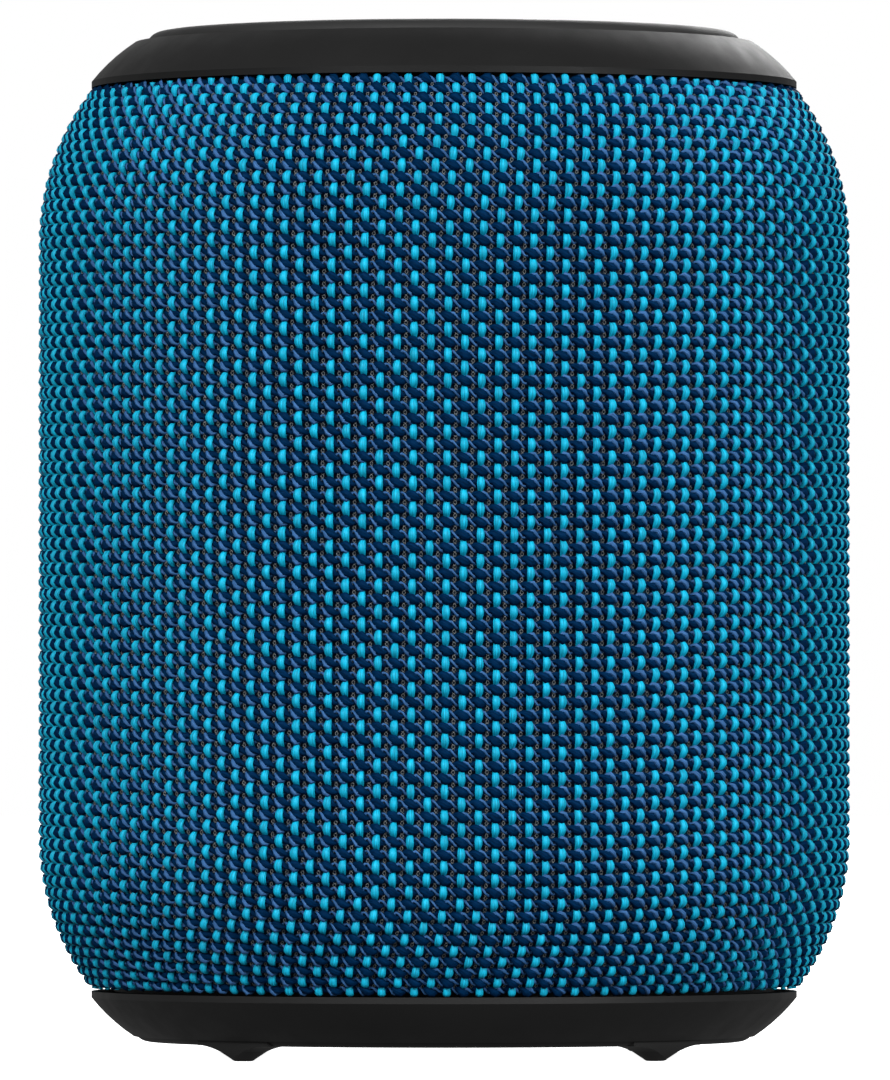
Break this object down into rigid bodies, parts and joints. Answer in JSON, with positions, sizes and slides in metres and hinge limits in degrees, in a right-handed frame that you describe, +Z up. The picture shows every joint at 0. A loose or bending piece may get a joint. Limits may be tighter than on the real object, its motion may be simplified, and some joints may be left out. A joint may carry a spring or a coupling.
{
  "type": "portable speaker",
  "caption": "Upright cylindrical portable speaker in a two-tone woven sleeve, with black soft-touch caps, small feet, top keys and a covered socket bay.",
  "frame": {"origin": "centre of the body at the plane of its feet", "axes": "+Z up along the body; the front faces -Y, the socket bay faces +Y"},
  "size_m": [0.09, 0.09, 0.1134],
  "materials": {
    "woven_fabric": "matte woven",
    "cap_plastic": "matte, fine grain",
    "cap_plastic_low": "matte, fine grain",
    "soft_touch": "soft-touch",
    "key_rubber": "matte",
    "foot_rubber": "matte",
    "cover_rubber": "matte",
    "light_pipe": "clear frosted",
    "dark_plastic": "moulded",
    "white_plastic": "moulded",
    "jack_plastic": "moulded",
    "circuit_board": "solder mask",
    "switch_metal": "stamped",
    "shield_metal": "stamped",
    "zinc_steel": "zinc plated",
    "black_steel": "black oxide",
    "basket_steel": "satin black",
    "ferrite": "sintered, dull",
    "copper_wire": "enamelled winding",
    "cone_paper": "pressed paper",
    "surround_rubber": "butyl, satin",
    "spider_cloth": "resin-dipped cloth",
    "radiator_metal": "satin",
    "seal_foam": "closed-cell foam",
    "chip_plastic": "moulded",
    "capacitor_can": "sleeved can",
    "battery_wrap": "shrink film",
    "ribbon_film": "film"
  },
  "bodies": {
    "housing": {"fabric_sleeve": "woven_fabric", "grille_frame": "dark_plastic", "top_shell": "cap_plastic", "control_panel": "soft_touch", "status_light": "light_pipe", "foot_pad": "foot_rubber", "base_shell": "cap_plastic_low", "control_board": "circuit_board", "tact_switches": "switch_metal", "board_screws": "zinc_steel", "top_screws": "zinc_steel", "seal_rings": "seal_foam", "chamber_body": "dark_plastic", "chamber_gasket": "seal_foam", "chamber_lid": "dark_plastic", "chamber_lid_screws": "zinc_steel", "driver_gaskets": "seal_foam", "driver_screws": "black_steel", "main_board": "circuit_board", "bluetooth_module": "shield_metal", "amplifier_chip": "chip_plastic", "board_capacitors": "capacitor_can", "battery_cell": "battery_wrap", "battery_strap": "white_plastic", "ribbon_cable": "ribbon_film", "base_screws": "zinc_steel", "usb_c_socket": "shield_metal", "aux_jack": "jack_plastic", "cover_hinge_strip": "cover_rubber", "port_bezel": "cap_plastic", "front_driver_frame": "basket_steel", "front_driver_magnet": "ferrite", "front_driver_top_plate": "zinc_steel", "front_driver_yoke": "zinc_steel", "front_driver_surround": "surround_rubber", "front_driver_spider": "spider_cloth", "rear_driver_frame": "basket_steel", "rear_driver_magnet": "ferrite", "rear_driver_top_plate": "zinc_steel", "rear_driver_yoke": "zinc_steel", "rear_driver_surround": "surround_rubber", "rear_driver_spider": "spider_cloth", "left_radiator_frame": "dark_plastic", "left_radiator_surround": "surround_rubber", "right_radiator_frame": "dark_plastic", "right_radiator_surround": "surround_rubber"},
    "port_cover": {"port_cover": "cover_rubber"},
    "play_button": {"play_button": "key_rubber"},
    "power_button": {"power_button": "key_rubber"},
    "pairing_button": {"pairing_button": "key_rubber"},
    "volume_up_button": {"volume_up_button": "key_rubber"},
    "volume_down_button": {"volume_down_button": "key_rubber"},
    "front_cone": {"front_driver_cone": "cone_paper", "front_driver_dust_cap": "cone_paper", "front_driver_voice_coil": "copper_wire"},
    "rear_cone": {"rear_driver_cone": "cone_paper", "rear_driver_dust_cap": "cone_paper", "rear_driver_voice_coil": "copper_wire"},
    "left_radiator": {"left_radiator_plate": "radiator_metal"},
    "right_radiator": {"right_radiator_plate": "radiator_metal"}
  },
  "joints": [
    {"name": "play_button_press", "type": "slide", "parent": "housing", "child": "play_button", "axis": [0, 0, -1], "range_m": [0, 0.0006], "stiffness_N_per_m": 2500, "springref_m": -0.0001},
    {"name": "power_button_press", "type": "slide", "parent": "housing", "child": "power_button", "axis": [0, 0, -1], "range_m": [0, 0.0006], "stiffness_N_per_m": 2500, "springref_m": -0.0001},
    {"name": "pairing_button_press", "type": "slide", "parent": "housing", "child": "pairing_button", "axis": [0, 0, -1], "range_m": [0, 0.0006], "stiffness_N_per_m": 2500, "springref_m": -0.0001},
    {"name": "volume_up_button_press", "type": "slide", "parent": "housing", "child": "volume_up_button", "axis": [0, 0, -1], "range_m": [0, 0.0006], "stiffness_N_per_m": 2500, "springref_m": -0.0001},
    {"name": "volume_down_button_press", "type": "slide", "parent": "housing", "child": "volume_down_button", "axis": [0, 0, -1], "range_m": [0, 0.0006], "stiffness_N_per_m": 2500, "springref_m": -0.0001},
    {"name": "port_cover_hinge", "type": "hinge", "parent": "housing", "child": "port_cover", "pos_m": [-0.01515, 0.04227, 0.032], "axis": [0, 0, 1], "range_deg": [0, 120]},
    {"name": "front_cone_stroke", "type": "slide", "parent": "housing", "child": "front_cone", "axis": [0, -1, 0], "range_m": [-0.0015, 0.0015], "stiffness_N_per_m": 1500, "deforming": ["front_driver_surround", "front_driver_spider"]},
    {"name": "rear_cone_stroke", "type": "slide", "parent": "housing", "child": "rear_cone", "axis": [0, 1, 0], "range_m": [-0.0015, 0.0015], "stiffness_N_per_m": 1500, "deforming": ["rear_driver_surround", "rear_driver_spider"]},
    {"name": "left_radiator_stroke", "type": "slide", "parent": "housing", "child": "left_radiator", "axis": [-1, 0, 0], "range_m": [-0.002, 0.002], "stiffness_N_per_m": 1000, "deforming": ["left_radiator_surround"]},
    {"name": "right_radiator_stroke", "type": "slide", "parent": "housing", "child": "right_radiator", "axis": [1, 0, 0], "range_m": [-0.002, 0.002], "stiffness_N_per_m": 1000, "deforming": ["right_radiator_surround"]}
  ]
}
